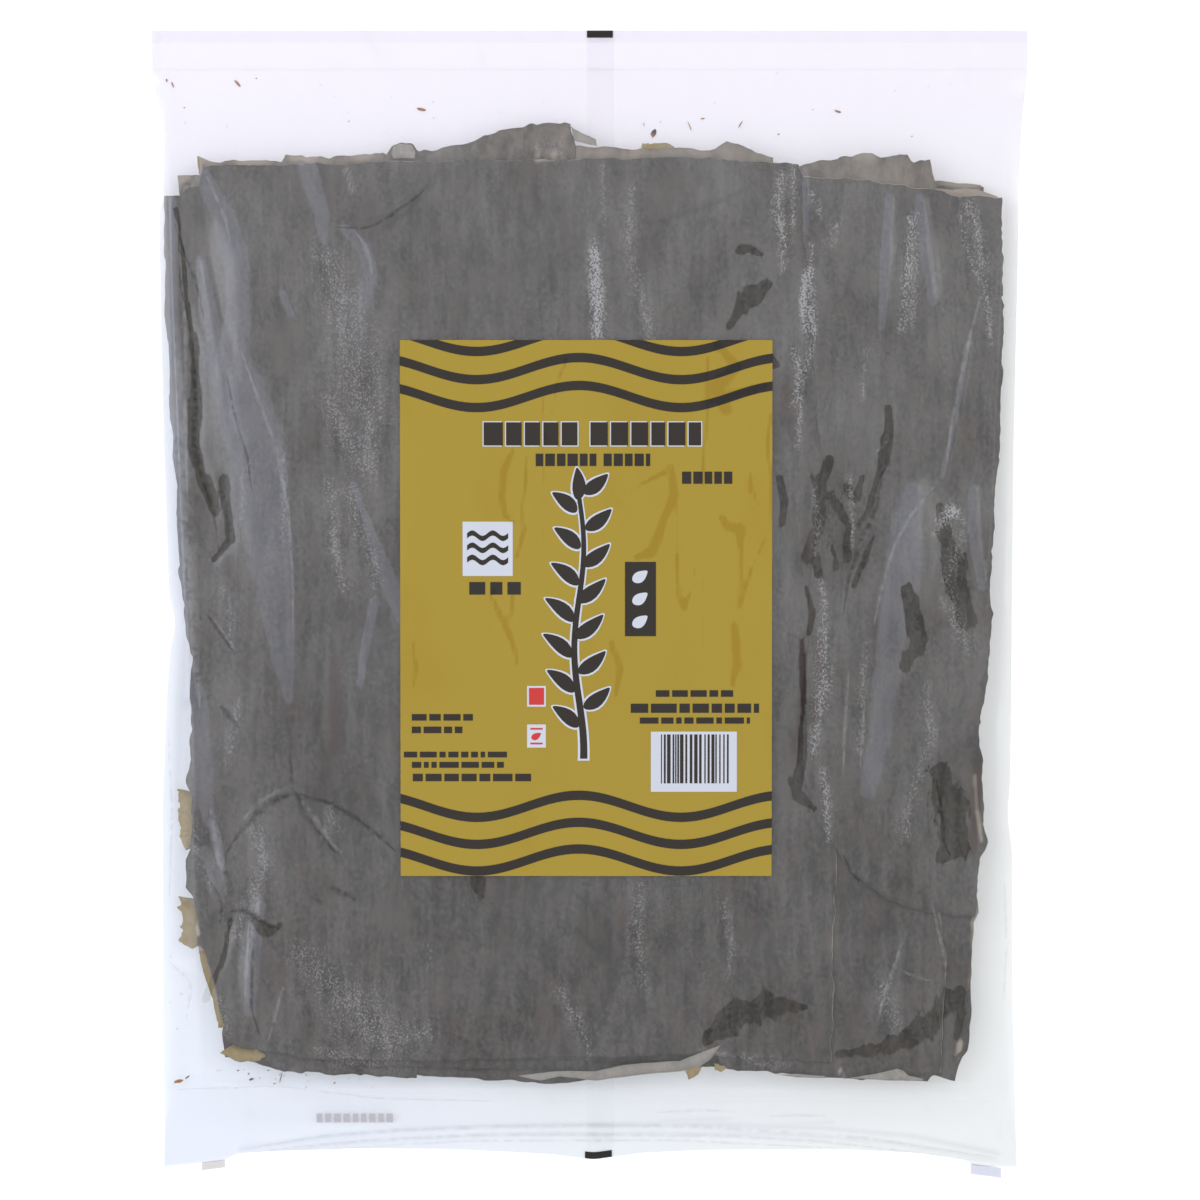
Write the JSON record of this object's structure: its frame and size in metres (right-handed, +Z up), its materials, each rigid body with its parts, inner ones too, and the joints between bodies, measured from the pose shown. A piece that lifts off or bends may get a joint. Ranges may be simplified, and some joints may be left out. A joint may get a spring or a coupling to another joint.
{
  "type": "clear bag of dried kelp sheets",
  "caption": "Flat sealed clear film bag holding a stack of large dried kelp sheets, with a printed gold panel on its upper face and a flat skirt past each seal.",
  "frame": {"origin": "on the table under the middle of the bag, which lies on its back", "axes": "+Z up, out of the printed face; +Y towards the top end, the one with the straight cut; +X to the right seen from above"},
  "size_m": [0.408, 0.529, 0.0221],
  "materials": {
    "kelp_under_film": "satin",
    "clear_film": "gloss",
    "dried_kelp": "matte",
    "gold_print": "satin",
    "dark_print": "satin",
    "white_print": "satin",
    "red_print": "satin"
  },
  "bodies": {
    "root": {"kelp_bag": "kelp_under_film"}
  },
  "joints": []
}
